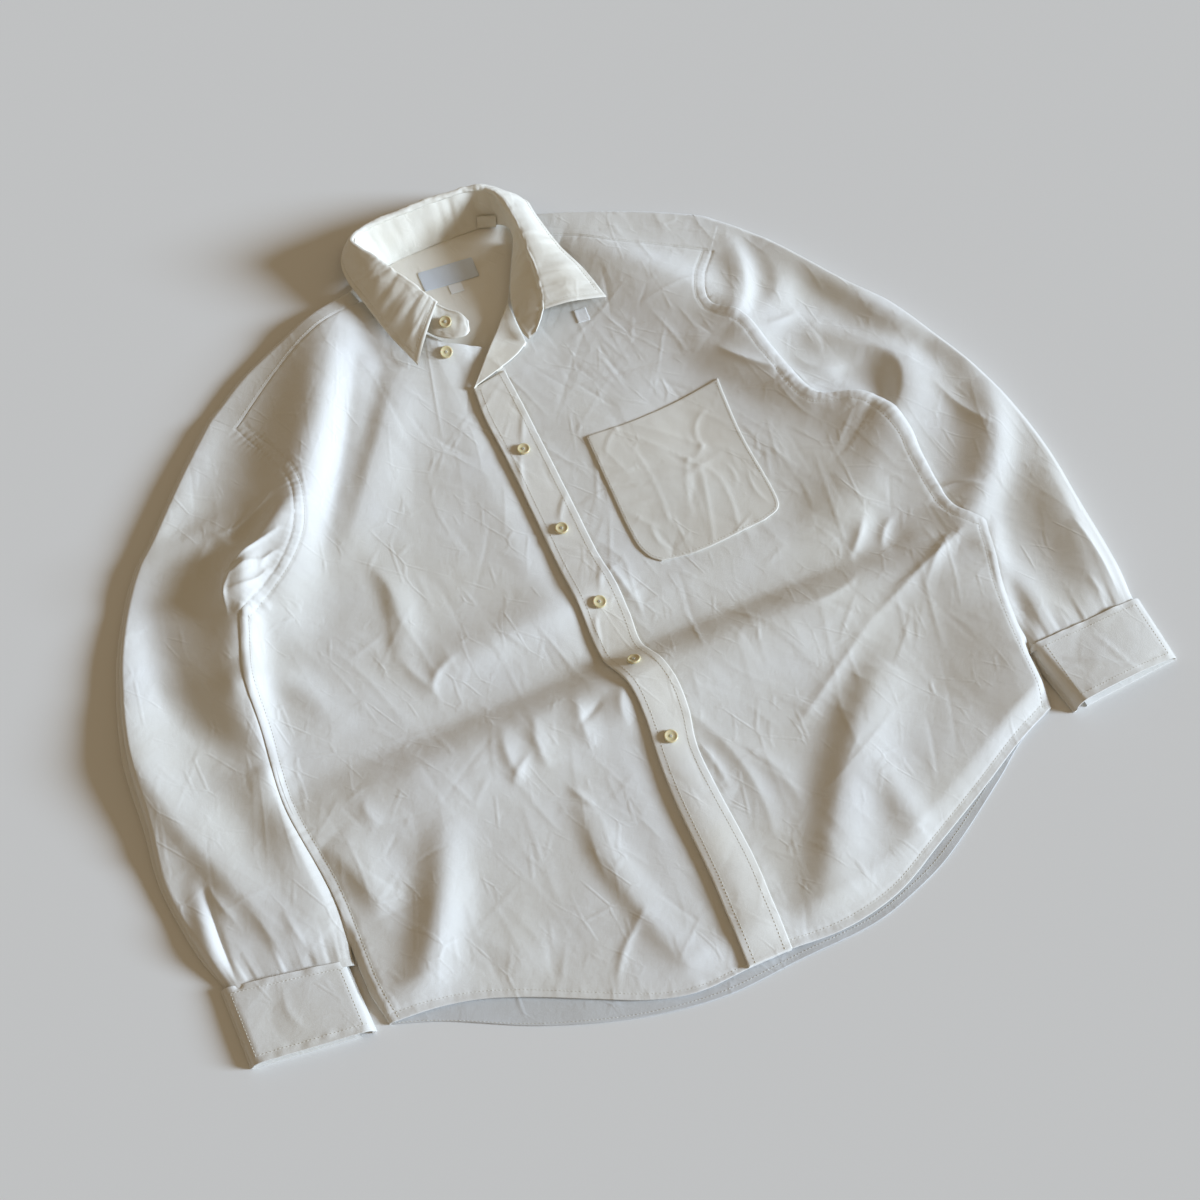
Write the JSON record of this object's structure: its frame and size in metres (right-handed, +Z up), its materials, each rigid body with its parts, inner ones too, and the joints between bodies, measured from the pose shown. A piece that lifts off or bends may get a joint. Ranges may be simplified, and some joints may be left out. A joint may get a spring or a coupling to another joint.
{
  "type": "crumpled button-up shirt",
  "caption": "Long-sleeved button-up shirt with collar and chest pocket, laid flat on its back, crumpled, its top opened.",
  "frame": {"origin": "on the resting surface, under the front placket near its third button", "axes": "+Z up from the resting surface; +Y from the hem to the collar; +X to the wearer's left"},
  "size_m": [0.829, 0.7966, 0.0408],
  "materials": {
    "shirting": "off-white plain cotton shirting with a soft sheen, creased",
    "trim_cloth": "slightly warmer, matter off-white cotton of placket, yoke and pocket",
    "collar_cloth": "fused collar cloth, faintly yellowed off-white cotton",
    "button": "yellowed ivory plastic with a soft gloss",
    "label": "bare pale grey woven satin",
    "tag": "bare white woven tape"
  },
  "bodies": {
    "root": {"back": "shirting", "front_right": "shirting", "front_left": "shirting", "sleeve_right": "shirting", "sleeve_left": "shirting", "cuff_right": "shirting", "cuff_left": "shirting", "placket": "trim_cloth", "placket_turned_top": "trim_cloth", "chest_pocket": "trim_cloth", "yoke": "trim_cloth", "collar_stand": "collar_cloth", "collar_leaf": "collar_cloth", "stay_tab": "collar_cloth", "hanger_loop": "collar_cloth", "button_1": "button", "button_2": "button", "button_3": "button", "button_4": "button", "button_5": "button", "button_top": "button", "button_stand": "button", "neck_label": "label", "size_tag": "tag"}
  },
  "joints": []
}
